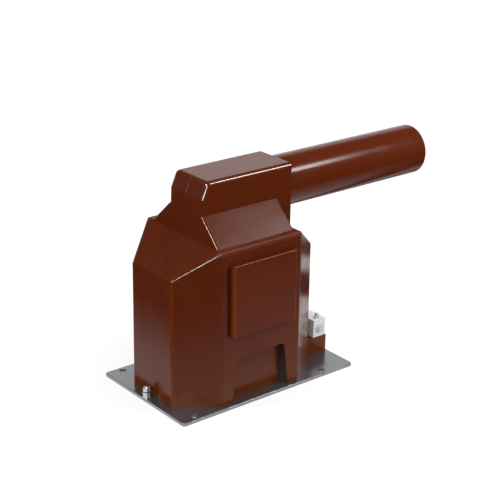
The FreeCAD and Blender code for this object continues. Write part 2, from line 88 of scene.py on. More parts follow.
def swept(path, out, side, profile):
    """Points of a closed profile carried along a path.

    Point (i, j) = path[i] + profile[j, 0] * side + profile[j, 1] * out[i], where out is the
    direction away from the surface at that point of the path and side lies across it.
    """
    across = profile[None, :, 0, None] * side[None, None, :]
    away = profile[None, :, 1, None] * out[:, None, :]
    return (path[:, None, :] + across + away).reshape(-1, 3)


def threaded_rod(radius, depth, pitch, bottom, top, plain_top, rounding, columns=48, steps=10):
    """Points of an upright threaded rod and its number of rows.

    At height z and angle a the radius is radius - depth * tooth(z / pitch - a / full turn), where
    tooth rises and falls evenly between 0 and 1 once a turn. It fades to plain below plain_top,
    and the last part below top is drawn in by a quarter of a circle of the given rounding.
    """
    rows = int((top - bottom) / pitch * steps)
    heights = np.linspace(bottom, top, rows)
    angles = np.linspace(0, FULL_TURN, columns, endpoint=False)
    turn = heights[:, None] / pitch - angles[None, :] / FULL_TURN
    tooth = np.abs(2 * (turn % 1) - 1)
    fade = np.clip((heights - plain_top) / pitch, 0, 1)[:, None]
    into_tip = np.clip(1 - (top - heights) / rounding, 0, 1)[:, None]
    drawn_in = rounding * (1 - np.sqrt(np.maximum(1 - into_tip ** 2, 0)))
    reach = radius - depth * tooth * fade - drawn_in * (1 - depth / radius)
    x = reach * np.cos(angles)[None, :]
    y = reach * np.sin(angles)[None, :]
    z = np.repeat(heights[:, None], columns, axis=1)
    return np.stack([x, y, z], axis=-1).reshape(-1, 3), rows


def knurled_band(radius, depth, bottom, top, teeth, chamfer):
    """Points and faces of an upright ring with straight knurls.

    The outer wall's radius is radius + depth * tooth(teeth * a / full turn), drawn in to the
    radius itself over the chamfer at each end. The inner wall is plain.
    """
    columns = teeth * 4
    angles = np.linspace(0, FULL_TURN, columns, endpoint=False)
    tooth = 1 - np.abs(2 * (teeth * angles / FULL_TURN % 1) - 1)
    heights = np.array([bottom, bottom + chamfer, top - chamfer, top])
    full = np.array([0.0, 1.0, 1.0, 0.0])
    outer = radius + full[:, None] * depth * tooth[None, :]
    inner = np.full((2, columns), radius - depth)
    reach = np.concatenate([outer, inner])
    z = np.concatenate([heights, [top, bottom]])
    rows = len(z)
    points = np.stack([reach * np.cos(angles), reach * np.sin(angles),
                       np.repeat(z[:, None], columns, axis=1)], axis=-1).reshape(-1, 3)
    across, along = np.meshgrid(np.arange(columns), np.arange(rows))
    here = along * columns + across
    beside = along * columns + (across + 1) % columns
    above = (along + 1) % rows * columns + across
    beside_above = (along + 1) % rows * columns + (across + 1) % columns
    return points, np.stack([here, beside, beside_above, above], axis=-1).reshape(-1, 4).tolist()


def hit(piece, start, direction):
    """Where a ray from start first meets a piece, as an array."""
    found, place, _, _ = piece.ray_cast(Vector(start), Vector(direction))
    if not found:
        raise RuntimeError("the ray from %s misses %s" % (start, piece.name))
    return np.array(place)


# Small helpers for node trees

def put(tree, kind, inputs=None, **settings):
    """A new node with its settings, its values and its links."""
    made = tree.nodes.new(kind)
    for key, value in settings.items():
        setattr(made, key, value)
    for key, value in (inputs or {}).items():
        if isinstance(value, bpy.types.NodeSocket):
            tree.links.new(value, made.inputs[key])
        else:
            made.inputs[key].default_value = value
    return made


def position(tree):
    """Object coordinates, as a vector and as its three parts."""
    place = put(tree, "ShaderNodeTexCoord").outputs["Object"]
    return place, put(tree, "ShaderNodeSeparateXYZ", {0: place}).outputs


def true_normal(tree):
    """Direction of the plain surface, without bumps."""
    return put(tree, "ShaderNodeNewGeometry").outputs["True Normal"]


def ramp(tree, factor, low, high, low_value=0.0, high_value=1.0):
    """Map Range from low and high to two values, kept between them."""
    return put(tree, "ShaderNodeMapRange", {"Value": factor, "From Min": low, "From Max": high,
                                            "To Min": low_value, "To Max": high_value}).outputs["Result"]


def blend(tree, factor, first, second, blend_type="MIX"):
    """Mix of two colours."""
    made = put(tree, "ShaderNodeMix", data_type="RGBA", blend_type=blend_type)
    for index, value in ((0, factor), (6, first), (7, second)):
        if isinstance(value, bpy.types.NodeSocket):
            tree.links.new(value, made.inputs[index])
        else:
            made.inputs[index].default_value = value
    return made.outputs[2]


def maths(tree, operation, first, second):
    """One step of arithmetic on two values."""
    return put(tree, "ShaderNodeMath", {0: first, 1: second}, operation=operation).outputs[0]


def group(name, inputs, outputs):
    """An empty node group with float inputs (name, default) and float outputs."""
    tree = bpy.data.node_groups.new(name, "ShaderNodeTree")
    vector = tree.interface.new_socket("Vector", in_out="INPUT", socket_type="NodeSocketVector")
    vector.hide_value = True
    for label, default in inputs:
        socket = tree.interface.new_socket(label, in_out="INPUT", socket_type="NodeSocketFloat")
        socket.default_value = default
    for label in outputs:
        tree.interface.new_socket(label, in_out="OUTPUT", socket_type="NodeSocketFloat")
    return tree, tree.nodes.new("NodeGroupInput").outputs, tree.nodes.new("NodeGroupOutput").inputs


def cloud_group():
    """Soft clouds and small blotches: Mask runs from 0 to 1 round the middle, Height is for a bump."""
    tree, given, out = group("soft_clouds", [("Scale", 12.0), ("Contrast", 1.0)], ["Mask", "Height"])
    wide = put(tree, "ShaderNodeTexNoise", {"Vector": given["Vector"], "Scale": given["Scale"],
                                            "Detail": 4.0, "Roughness": 0.55})
    centred = maths(tree, "SUBTRACT", wide.outputs["Fac"], 0.5)
    spread = maths(tree, "MULTIPLY", centred, given["Contrast"])
    mask = put(tree, "ShaderNodeClamp", {"Value": maths(tree, "ADD", spread, 0.5)})
    tree.links.new(mask.outputs[0], out["Mask"])
    tree.links.new(wide.outputs["Fac"], out["Height"])
    return tree


def speck_group():
    """Scattered specks of dust: 1 in a speck and 0 elsewhere, few or many by Amount."""
    tree, given, out = group("dust_specks", [("Scale", 400.0), ("Amount", 0.1)], ["Mask"])
    cells = put(tree, "ShaderNodeTexVoronoi", {"Vector": given["Vector"], "Scale": given["Scale"]})
    chosen = put(tree, "ShaderNodeTexWhiteNoise", {"Vector": cells.outputs["Position"]},
                 noise_dimensions="3D")
    few = maths(tree, "LESS_THAN", chosen.outputs["Value"], given["Amount"])
    near = ramp(tree, cells.outputs["Distance"], 0.12, 0.28, 1.0, 0.0)
    tree.links.new(maths(tree, "MULTIPLY", few, near), out["Mask"])
    return tree


def grain_group():
    """Drawn-out grain of rolled or turned metal: long along X, short across it."""
    tree, given, out = group("metal_grain", [("Scale", 300.0), ("Stretch", 30.0)], ["Mask", "Height"])
    shrink = maths(tree, "DIVIDE", 1.0, given["Stretch"])
    scale = put(tree, "ShaderNodeCombineXYZ", {"X": shrink, "Y": 1.0, "Z": 1.0})
    drawn = put(tree, "ShaderNodeVectorMath", {0: given["Vector"], 1: scale.outputs[0]},
                operation="MULTIPLY")
    lines = put(tree, "ShaderNodeTexNoise", {"Vector": drawn.outputs[0], "Scale": given["Scale"],
                                             "Detail": 3.0})
    tree.links.new(lines.outputs["Fac"], out["Mask"])
    tree.links.new(lines.outputs["Fac"], out["Height"])
    return tree


def placed(tree, shared, **values):
    """A shared group placed in a material, reading Object coordinates."""
    made = put(tree, "ShaderNodeGroup", node_tree=shared)
    place = put(tree, "ShaderNodeTexCoord").outputs["Object"]
    tree.links.new(place, made.inputs["Vector"])
    for key, value in values.items():
        made.inputs[key].default_value = value
    return made.outputs


def bump(tree, height, strength, distance):
    """Normal of the surface raised by a height map."""
    return put(tree, "ShaderNodeBump", {"Height": height, "Strength": strength,
                                        "Distance": distance}).outputs["Normal"]


def material(name, **constants):
    """A material with one Principled BSDF, its constants set on its own sockets."""
    made = bpy.data.materials.new(name)
    made.use_nodes = True
    shader = made.node_tree.nodes["Principled BSDF"]
    for key, value in constants.items():
        shader.inputs[key.replace("_", " ")].default_value = value
    return made, made.node_tree, shader.inputs


def shade(tree, sockets, colour=None, roughness=None, normal=None):
    """Links what varies over the surface to the shader's sockets."""
    for key, value in (("Base Color", colour), ("Roughness", roughness), ("Normal", normal)):
        if value is not None:
            tree.links.new(value, sockets[key])


def opaque(colour, factor=1.0):
    """A colour times a factor, kept within 1, with full alpha."""
    return [min(1.0, channel * factor) for channel in colour[:3]] + [1.0]


def dress(names, made):
    """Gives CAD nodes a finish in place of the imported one."""
    for name in names:
        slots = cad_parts[name].material_slots
        for index in range(len(slots)):
            slots[index].material = made


# Finishes

def resin_finish(settings):
    """Glossy dark red-brown casting resin, a little cloudy, with faint waves, dull streaks and a few dust
    specks.
    Its painted light: an amber tint just above the plate as a painted reflection of the plate, a painted glow
    in some edges, and painted shade in the grooves beside the pads and on the foot recesses' walls."""
    made, tree, sockets = material("cast_resin", Specular_IOR_Level=settings.gloss_level,
                                   Coat_Roughness=0.1)
    clouds = placed(tree, shared_group("soft_clouds"), Scale=9.0, Contrast=1.6)
    smears = placed(tree, shared_group("soft_clouds"), Scale=28.0, Contrast=2.4)
    waves = placed(tree, shared_group("soft_clouds"), Scale=34.0, Contrast=1.0)
    specks = placed(tree, shared_group("dust_specks"), Scale=260.0, Amount=0.008)
    streaks = placed(tree, shared_group("metal_grain"), Scale=70.0, Stretch=9.0)
    # Painted reflection: the amber tint just above the plate stands in for the plate's reflection in the
    # resin.
    foot = ramp(tree, position(tree)[1]["Z"], 0.0, settings.foot_reflection_height, settings.foot_reflection_share, 0.0)
    cloudy = blend(tree, clouds["Mask"], opaque(settings.colour), opaque(settings.warm_colour))
    tone = blend(tree, foot, cloudy, opaque(settings.foot_reflection_colour))
    colour = blend(tree, maths(tree, "MULTIPLY", specks["Mask"], 0.35), tone, opaque(settings.dust_colour))
    polish = ramp(tree, smears["Mask"], 0.0, 1.0, settings.roughness, settings.roughness + 0.07)
    streaky = maths(tree, "ADD", polish, ramp(tree, streaks["Mask"], 0.45, 0.70, 0.0, 0.06))
    rough = maths(tree, "ADD", streaky, maths(tree, "MULTIPLY", specks["Mask"], 0.3))
    glow, painted_groove_shade, rim = edge_masks(tree, settings)
    # Painted glow: the pads' near edges, the near upright edges and the rims take a lighter, warmer colour.
    with_painted_edge_glow = blend(tree, glow, colour, opaque(settings.painted_edge_glow_colour))
    # Painted shade: the groove beside each pad is darkened.
    with_groove_shade = blend(tree, painted_groove_shade, with_painted_edge_glow, opaque(settings.colour, settings.painted_shade_tone))
    # Painted shadow: the foot recesses' walls that look to the near end are darkened nearly to black.
    shaded = recess_wall_shade_mask(tree, settings)
    dark = blend(tree, shaded, with_groove_shade, opaque(settings.colour, settings.painted_shade_tone))
    softened = maths(tree, "ADD", rough, maths(tree, "MULTIPLY", rim, 0.3))
    dull = maths(tree, "ADD", softened, maths(tree, "MULTIPLY", shaded, 0.5))
    shade(tree, sockets, dark, dull, bump(tree, waves["Height"], 0.25, settings.wave_depth))
    tree.links.new(polished_edges(tree, settings), sockets["Coat Weight"])
    return made


def polished_edges(tree, settings):
    """The coat's weight: settings.edge_polish on the head block's slanted and rounded parts, where the
    bright lines lie, and 0 on its upright and level faces, on the tube and lower down."""
    split = position(tree)[1]
    turned = put(tree, "ShaderNodeVectorMath", {0: true_normal(tree)}, operation="ABSOLUTE").outputs[0]
    sides = put(tree, "ShaderNodeSeparateXYZ", {0: turned}).outputs
    flat = maths(tree, "MAXIMUM", maths(tree, "MAXIMUM", sides["X"], sides["Y"]), sides["Z"])
    edge = ramp(tree, flat, 0.93, 0.985, 1.0, 0.0)
    high = maths(tree, "GREATER_THAN", split["Z"], settings.polish_height)
    block = maths(tree, "LESS_THAN", split["X"], settings.block_end)
    weight = maths(tree, "MULTIPLY", maths(tree, "MULTIPLY", high, block), settings.edge_polish)
    return maths(tree, "MULTIPLY", edge, weight)


def band(tree, value, low, high, soft):
    """1 where the value lies between low and high and 0 outside, with soft borders."""
    rise = ramp(tree, value, low - soft, low, 0.0, 1.0)
    fall = ramp(tree, value, high, high + soft, 1.0, 0.0)
    return maths(tree, "MULTIPLY", rise, fall)


def edge_masks(tree, settings):
    """Three masks: the painted glow in the near edges of the raised pads, in the near upright edges and in the
    rims over the long sides, then the painted shade in the groove beside the pads, then the rims alone."""
    place, split = position(tree)
    across = maths(tree, "ABSOLUTE", split["Y"], 0.0)
    height = band(tree, split["Z"], settings.pad_low, settings.pad_high, 1.5 * MM)
    proud = maths(tree, "GREATER_THAN", across, settings.side_face + 1.5 * MM)
    near = band(tree, split["X"], settings.pad_start - 1 * MM, settings.pad_start + 3 * MM, 3 * MM)
    edge = maths(tree, "MULTIPLY", maths(tree, "MULTIPLY", near, proud), height)
    # Mask of the painted shade in the groove just before each pad.
    beside = band(tree, split["X"], settings.pad_start - 6 * MM, settings.pad_start - 2 * MM, 5 * MM)
    level = maths(tree, "SUBTRACT", 1.0, proud)
    outer = maths(tree, "GREATER_THAN", across, settings.side_face - 12 * MM)
    painted_groove_shade = maths(tree, "MULTIPLY", maths(tree, "MULTIPLY", beside, level),
                   maths(tree, "MULTIPLY", height, outer))
    rim_height = band(tree, split["Z"], settings.rim_low, settings.rim_high, 4 * MM)
    rim = maths(tree, "MULTIPLY", rim_height, outer)
    folded = put(tree, "ShaderNodeVectorMath", {0: place}, operation="ABSOLUTE").outputs[0]
    corner = (settings.corner_x, settings.corner_y, 0.0)
    flattened = put(tree, "ShaderNodeVectorMath", {0: folded, 1: (1.0, 1.0, 0.0)}, operation="MULTIPLY")
    reach = put(tree, "ShaderNodeVectorMath", {0: flattened.outputs[0], 1: corner}, operation="DISTANCE")
    upright = maths(tree, "MULTIPLY", ramp(tree, reach.outputs["Value"], 3 * MM, 5 * MM, 1.0, 0.0),
                    maths(tree, "LESS_THAN", split["X"], 0.0))
    upright_share, rim_share, groove_shade_share = 0.45, 0.35, 0.6
    # Shares of the painted glow in the upright edges and the rims, and of the painted shade in the groove.
    bright = maths(tree, "MAXIMUM", edge, maths(tree, "MULTIPLY", upright, upright_share))
    brightest = maths(tree, "MAXIMUM", bright, maths(tree, "MULTIPLY", rim, rim_share))
    glow = maths(tree, "MULTIPLY", brightest, settings.painted_edge_glow_share)
    return glow, maths(tree, "MULTIPLY", painted_groove_shade, groove_shade_share), rim


def recess_wall_shade_mask(tree, settings):
    """1 on the foot recesses' walls that look to the near end, which get a painted shadow that makes them
    nearly black, and 0 elsewhere.
    """
    split = position(tree)[1]
    turned = put(tree, "ShaderNodeSeparateXYZ", {0: true_normal(tree)}).outputs["X"]
    wall = maths(tree, "LESS_THAN", turned, -0.7)
    low = maths(tree, "LESS_THAN", split["Z"], settings.recess_height)
    beyond = maths(tree, "GREATER_THAN", split["X"], 0.0)
    return maths(tree, "MULTIPLY", maths(tree, "MULTIPLY", wall, low), beyond)


def hole_wall_shade_mask(tree):
    """1 on the walls of the plate's holes, which get a painted shade, and 0 on its faces and its rim."""
    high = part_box("base_plate")[1]
    rim = 3 * MM
    across = put(tree, "ShaderNodeVectorMath", {0: position(tree)[0]}, operation="ABSOLUTE").outputs[0]
    split = put(tree, "ShaderNodeSeparateXYZ", {0: across}).outputs
    in_length = maths(tree, "LESS_THAN", split["X"], high[0] - rim)
    in_width = maths(tree, "LESS_THAN", split["Y"], high[1] - rim)
    upright = put(tree, "ShaderNodeVectorMath", {0: true_normal(tree)}, operation="ABSOLUTE").outputs[0]
    level = put(tree, "ShaderNodeSeparateXYZ", {0: upright}).outputs["Z"]
    wall = maths(tree, "LESS_THAN", level, 0.5)
    return maths(tree, "MULTIPLY", maths(tree, "MULTIPLY", in_length, in_width), wall)


def plate_finish(settings):
    """Bare rolled sheet steel with fine grain, dull clouds, small stains and painted shade on the walls of its
    holes.
    """
    made, tree, sockets = material("rolled_steel", Metallic=0.9)
    grain = placed(tree, shared_group("metal_grain"), Scale=900.0, Stretch=40.0)
    clouds = placed(tree, shared_group("soft_clouds"), Scale=16.0, Contrast=2.2)
    stains = placed(tree, shared_group("dust_specks"), Scale=70.0, Amount=0.05)
    steel = settings.steel_colour
    tone = blend(tree, clouds["Mask"], opaque(steel, 0.80), opaque(steel, 1.06))
    lined = blend(tree, maths(tree, "MULTIPLY", grain["Mask"], 0.6), tone, opaque(steel, 0.65))
    stained = blend(tree, maths(tree, "MULTIPLY", stains["Mask"], 0.35), lined, opaque(steel, 0.5))
    # Painted shade: the walls of the holes are darkened.
    colour = blend(tree, hole_wall_shade_mask(tree), stained, opaque(steel, 0.3))
    rough = ramp(tree, clouds["Mask"], 0.0, 1.0, 0.18, 0.28)
    shade(tree, sockets, colour, rough, bump(tree, grain["Height"], 0.15, 0.02 * MM))
    return made


def plated_finish(name, colour, low, high, metallic=1.0):
    """Plated or turned metal: cloudy tone, fine turning marks and a few dull spots."""
    made, tree, sockets = material(name, Metallic=metallic)
    clouds = placed(tree, shared_group("soft_clouds"), Scale=180.0, Contrast=2.0)
    grain = placed(tree, shared_group("metal_grain"), Scale=2500.0, Stretch=6.0)
    spots = placed(tree, shared_group("dust_specks"), Scale=600.0, Amount=0.06)
    tone = blend(tree, clouds["Mask"], opaque(colour, 0.86), opaque(colour))
    spotted = blend(tree, maths(tree, "MULTIPLY", spots["Mask"], 0.3), tone, opaque(colour, 0.45))
    rough = ramp(tree, clouds["Mask"], 0.0, 1.0, low, high)
    shade(tree, sockets, spotted, rough, bump(tree, grain["Height"], 0.12, 0.02 * MM))
    return made


def cover_finish(settings):
    """Clear moulded plastic, a little hazy, with fine scratches. The haze roughens it, and its darker patches
    are painted in place of what shows through the cover.
    """
    made, tree, sockets = material("clear_plastic", Transmission_Weight=0.12, IOR=1.49)
    haze_and_show_through = placed(tree, shared_group("soft_clouds"), Scale=230.0, Contrast=4.5)
    scratches = placed(tree, shared_group("metal_grain"), Scale=1200.0, Stretch=25.0)
    # The darker patches in the tone are painted, in place of what shows through the clear cover.
    tone = blend(tree, haze_and_show_through["Mask"], opaque(settings.cover_colour, 0.82), opaque(settings.cover_colour))
    rough = ramp(tree, haze_and_show_through["Mask"], 0.0, 1.0, 0.02, 0.09)
    shade(tree, sockets, tone, rough, bump(tree, scratches["Height"], 0.1, 0.03 * MM))
    return made


def dull_finish(name, colour, low, high, wave=0.05, specular=0.5):
    """Rubber, ceramic or other dull stuff: cloudy tone, uneven sheen and a fine skin."""
    made, tree, sockets = material(name, Specular_IOR_Level=specular)
    clouds = placed(tree, shared_group("soft_clouds"), Scale=90.0, Contrast=1.6)
    skin = placed(tree, shared_group("soft_clouds"), Scale=1400.0, Contrast=1.0)
    specks = placed(tree, shared_group("dust_specks"), Scale=900.0, Amount=0.05)
    tone = blend(tree, clouds["Mask"], opaque(colour, 0.88), opaque(colour))
    dusty = blend(tree, maths(tree, "MULTIPLY", specks["Mask"], 0.3), tone, opaque(colour, 1.4))
    rough = ramp(tree, clouds["Mask"], 0.0, 1.0, low, high)
    shade(tree, sockets, dusty, rough, bump(tree, skin["Height"], 0.2, wave * MM))
    return made


GROUP_MAKERS = {"soft_clouds": cloud_group, "dust_specks": speck_group, "metal_grain": grain_group}


def shared_group(name):
    """The node group of that name, made on first use."""
    if name not in bpy.data.node_groups:
        GROUP_MAKERS[name]()
    return bpy.data.node_groups[name]


# Settings a user would change

class TransformerCasting(bpy.types.PropertyGroup):
    """Resin, its places and its mould seam"""
    colour: bpy.props.FloatVectorProperty(
        name="Resin", description="Main colour of the resin", subtype="COLOR", size=3,
        default=(0.092, 0.0125, 0.0020), min=0, max=1)
    warm_colour: bpy.props.FloatVectorProperty(
        name="Warm resin", description="Colour of the warmer clouds", subtype="COLOR", size=3,
        default=(0.112, 0.0175, 0.0028), min=0, max=1)
    # The amber tint at the foot is a painted reflection of the plate, not the resin's own colour.
    foot_reflection_colour: bpy.props.FloatVectorProperty(
        name="Amber", description="Colour of the resin just above the plate", subtype="COLOR", size=3,
        default=(0.120, 0.026, 0.0015), min=0, max=1)
    foot_reflection_height: bpy.props.FloatProperty(
        name="Amber height", description="How high the amber tone reaches",
        default=75 * MM, unit="LENGTH")
    foot_reflection_share: bpy.props.FloatProperty(
        name="Amber share", description="How far the resin turns amber at its foot",
        default=0.7, min=0, max=1)
    edge_polish: bpy.props.FloatProperty(
        name="Edge polish", description="Extra gloss on the head block's rounded edges",
        default=1.0, min=0, max=1)
    polish_height: bpy.props.FloatProperty(
        name="Polish height", description="How high the polished edges start",
        default=350 * MM, unit="LENGTH")
    block_end: bpy.props.FloatProperty(
        name="Block end", description="Where the head block ends and the tube starts", default=104 * MM,
        unit="LENGTH")
    # The edge colour and its share are a painted glow in the resin's edges.
    painted_edge_glow_colour: bpy.props.FloatVectorProperty(
        name="Edge colour", description="Colour of the resin where light glows in its edges",
        subtype="COLOR", size=3, default=(0.215, 0.036, 0.0035), min=0, max=1)
    painted_edge_glow_share: bpy.props.FloatProperty(
        name="Edge glow", description="How far the edges take the edge colour",
        default=0.65, min=0, max=1)
    pad_start: bpy.props.FloatProperty(
        name="Pad start", description="Near edge of the raised pads", default=-90 * MM, unit="LENGTH")
    pad_low: bpy.props.FloatProperty(
        name="Pad low", description="Lower edge of the raised pads", default=138 * MM, unit="LENGTH")
    pad_high: bpy.props.FloatProperty(
        name="Pad high", description="Upper edge of the raised pads", default=272 * MM, unit="LENGTH")
    side_face: bpy.props.FloatProperty(
        name="Side face", description="Distance of the long sides from the middle", default=113.5 * MM,
        unit="LENGTH")
    # The rim over each long side takes part of the painted edge glow.
    rim_low: bpy.props.FloatProperty(
        name="Rim low", description="Lower border of the glowing rim over a long side", default=295 * MM,
        unit="LENGTH")
    rim_high: bpy.props.FloatProperty(
        name="Rim high", description="Upper border of the glowing rim over a long side", default=302 * MM,
        unit="LENGTH")
    corner_x: bpy.props.FloatProperty(
        name="Corner X", description="Distance of the near upright edges behind the origin",
        default=178 * MM,
        unit="LENGTH")
    corner_y: bpy.props.FloatProperty(
        name="Corner Y", description="Distance of the near upright edges from the middle",
        default=59 * MM,
        unit="LENGTH")
    recess_height: bpy.props.FloatProperty(
        name="Recess height", description="Top of the foot recesses", default=95 * MM, unit="LENGTH")
    # Tone of the painted shade on the recess walls and in the grooves.
    painted_shade_tone: bpy.props.FloatProperty(
        name="Recess shade", description="Tone of the dark recess walls and grooves",
        default=0.3, min=0, max=1)
    dust_colour: bpy.props.FloatVectorProperty(
        name="Dust", description="Colour of the dust specks", subtype="COLOR", size=3,
        default=(0.20, 0.11, 0.08), min=0, max=1)
    roughness: bpy.props.FloatProperty(
        name="Roughness", description="Roughness of the cleanest resin", default=0.13, min=0, max=1)
    gloss_level: bpy.props.FloatProperty(
        name="Gloss", description="Strength of the resin's mirror reflection", default=0.28, min=0, max=1)
    wave_depth: bpy.props.FloatProperty(
        name="Wave depth", description="Depth of the faint waves in the moulded surface",
        default=0.15 * MM, min=0, unit="LENGTH")
    seam_width: bpy.props.FloatProperty(
        name="Seam width", description="Width of the mould seam", default=0.9 * MM, min=0, unit="LENGTH")
    seam_start: bpy.props.FloatProperty(
        name="Seam start", description="How far behind the near end face the seam starts to show",
        default=4.0 * MM, min=0, unit="LENGTH")
    seam_height: bpy.props.FloatProperty(
        name="Seam height", description="How far the mould seam stands out",
        default=0.08 * MM, min=0, unit="LENGTH")


class TransformerMetal(bpy.types.PropertyGroup):
    """Plate, plated pieces and threads"""
    steel_colour: bpy.props.FloatVectorProperty(
        name="Steel", description="Colour of the base plate", subtype="COLOR", size=3,
        default=(0.40, 0.41, 0.42), min=0, max=1)
    zinc_colour: bpy.props.FloatVectorProperty(
        name="Zinc", description="Colour of the zinc-plated fasteners", subtype="COLOR", size=3,
        default=(0.74, 0.76, 0.77), min=0, max=1)
    spring_colour: bpy.props.FloatVectorProperty(
        name="Spring steel", description="Colour of the spring washers", subtype="COLOR", size=3,
        default=(0.10, 0.10, 0.11), min=0, max=1)
    brass_colour: bpy.props.FloatVectorProperty(
        name="Brass", description="Colour of the cast-in brass", subtype="COLOR", size=3,
        default=(0.62, 0.42, 0.16), min=0, max=1)
    nickel_colour: bpy.props.FloatVectorProperty(
        name="Nickel", description="Colour of nickel-plated brass", subtype="COLOR", size=3,
        default=(0.66, 0.63, 0.56), min=0, max=1)
    thread_pitch: bpy.props.FloatProperty(
        name="Thread pitch", description="Pitch of the earthing stud's thread",
        default=1.25 * MM, min=0.2 * MM, unit="LENGTH")
    thread_depth: bpy.props.FloatProperty(
        name="Thread depth", description="Depth of the earthing stud's thread",
        default=0.6 * MM, min=0, unit="LENGTH")


class TransformerCover(bpy.types.PropertyGroup):
    """Clear cover, its screws and its rubber"""
    cover_colour: bpy.props.FloatVectorProperty(
        name="Cover", description="Colour of the clear cover", subtype="COLOR", size=3,
        default=(0.97, 0.98, 0.98), min=0, max=1)
    rubber_colour: bpy.props.FloatVectorProperty(
        name="Rubber", description="Colour of the cable entries", subtype="COLOR", size=3,
        default=(0.66, 0.67, 0.68), min=0, max=1)
    knurl_teeth: bpy.props.IntProperty(
        name="Knurls", description="Number of knurls round a cover screw's head", default=30, min=6)
    knurl_depth: bpy.props.FloatProperty(
        name="Knurl depth", description="How far the knurls stand out",
        default=0.3 * MM, min=0, unit="LENGTH")


class TransformerStudio(bpy.types.PropertyGroup):
    """Camera, lamps, floor and room"""
    azimuth: bpy.props.FloatProperty(
        name="Azimuth", description="Turn of the camera round the object",
        default=math.radians(39.94), unit="ROTATION")
    elevation: bpy.props.FloatProperty(
        name="Elevation", description="Height of the camera as an angle",
        default=math.radians(21.98), unit="ROTATION")
    roll: bpy.props.FloatProperty(
        name="Roll", description="Turn of the picture", default=math.radians(1.22), unit="ROTATION")
    distance: bpy.props.FloatProperty(
        name="Distance", description="From the camera to the point that it looks at",
        default=2.54776, unit="LENGTH")
    target: bpy.props.FloatVectorProperty(
        name="Target", description="Point that the camera looks at", size=3, subtype="TRANSLATION",
        default=(0.08394, 0.0, 0.20531), unit="LENGTH")
    lens: bpy.props.FloatProperty(
        name="Lens", description="Focal length in millimetres", default=97.556, min=1)
    shift_x: bpy.props.FloatProperty(
        name="Shift X", description="Sideways shift of the picture", default=-0.03236)
    shift_y: bpy.props.FloatProperty(
        name="Shift Y", description="Upward shift of the picture", default=0.02068)
    room_light: bpy.props.FloatProperty(
        name="Room light", description="Strength of the light from all round", default=1.02, min=0)
    dark_room: bpy.props.FloatProperty(
        name="Dark room", description="Strength of the unlit parts of the room in reflections",
        default=0.05, min=0)
    key_power: bpy.props.FloatProperty(
        name="Key", description="Power of the lamp high at the right", default=11.0, min=0, unit="POWER")
    side_power: bpy.props.FloatProperty(
        name="Side", description="Power of the lamp high at the left", default=48.0, min=0, unit="POWER")
    low_power: bpy.props.FloatProperty(
        name="Low", description="Power of the lamp low at the front left",
        default=9.0, min=0, unit="POWER")
    shoulder_power: bpy.props.FloatProperty(
        name="Shoulder", description="Power of the lamp that the shoulder mirrors",
        default=0.22, min=0, unit="POWER")
    floor_paint: bpy.props.FloatProperty(
        name="Floor paint", description="Grey of the floor, which takes the shadow",
        default=0.45, min=0, max=1)
    floor_glow: bpy.props.FloatProperty(
        name="Floor glow", description="What the camera sees the floor lighter by", default=0.60, min=0)
    pale_front: bpy.props.FloatProperty(
        name="Pale front", description="Where the pale table starts to darken at the front in reflections",
        default=-0.05, unit="LENGTH")
    dark_front: bpy.props.FloatProperty(
        name="Dark front", description="Where the table is dark at the front in reflections",
        default=-0.70, unit="LENGTH")
    pale_left: bpy.props.FloatProperty(
        name="Pale left", description="Where the pale table ends at the left, as reflections show it",
        default=-0.27, unit="LENGTH")
    pale_fade: bpy.props.FloatProperty(
        name="Pale fade", description="Over what length the pale table fades at the left",
        default=0.14, min=0.01, unit="LENGTH")


# Operators

class TRANSFORMER_OT_casting(bpy.types.Operator):
    """Finish the resin casting and lay the mould seam along its middle"""
    bl_idname = "transformer.casting"
    bl_label = "Casting"

    def execute(self, context):
        settings = context.scene.transformer_casting
        resin = resin_finish(settings)
        dress(["resin_body"], resin)
        seam = mould_seam(settings)
        seam.data.materials.append(resin)
        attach(seam, "root")
        return {"FINISHED"}


def mould_seam(settings):
    """Thin raised seam in the plane y = 0, up the near end's slope and along the top to the tube's mouth.

    Rays along +X find the near end's outline at even heights, rays along -Z find the top's
    outline at even steps, and a flat lens-shaped profile is carried along both.
    """
    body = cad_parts["resin_body"]
    low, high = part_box("resin_body")
    step = 1.5 * MM
    outside = 20 * MM
    corner = 2.6 * MM
    mouth_rounding = 5 * MM
    heights = np.arange(low[2] + 2 * MM, high[2] - corner, step)
    rising = np.array([hit(body, (low[0] - outside, 0, z), (1, 0, 0)) for z in heights])
    rising = rising[rising[:, 0] > low[0] + settings.seam_start]
    places = np.arange(rising[-1, 0] + corner, high[0] - mouth_rounding, step)
    running = np.array([hit(body, (x, 0, high[2] + outside), (0, 0, -1)) for x in places])
    path = np.concatenate([rising, running])
    path[:, 1] = 0
    along = np.gradient(path, axis=0)
    along /= np.linalg.norm(along, axis=1)[:, None]
    side = np.array([0.0, 1.0, 0.0])
    out = np.cross(along, side)
    half = settings.seam_width / 2
    proud = settings.seam_height
    profile = np.array([(-half, 0), (-half / 2, 0.8 * proud), (0, proud), (half / 2, 0.8 * proud),
                        (half, 0), (0, -proud)])
    points = swept(path, -out, side, profile)
    return surface_piece("mould_seam", points, grid_faces(len(path), len(profile)))


class TRANSFORMER_OT_plate(bpy.types.Operator):
    """Finish the steel base plate and its screws"""
    bl_idname = "transformer.plate"
    bl_label = "Base plate"

    def execute(self, context):
        settings = context.scene.transformer_metal
        dress(["base_plate"], plate_finish(settings))
        dress(["body_screws"],
              plated_finish("zinc_plating_of_body_screws", settings.zinc_colour, 0.22, 0.40))
        dress(["body_inserts", "terminal_inserts", "cover_inserts", "tube_ring", "fuse_socket"],
              plated_finish("turned_brass", settings.brass_colour, 0.25, 0.42))
        return {"FINISHED"}


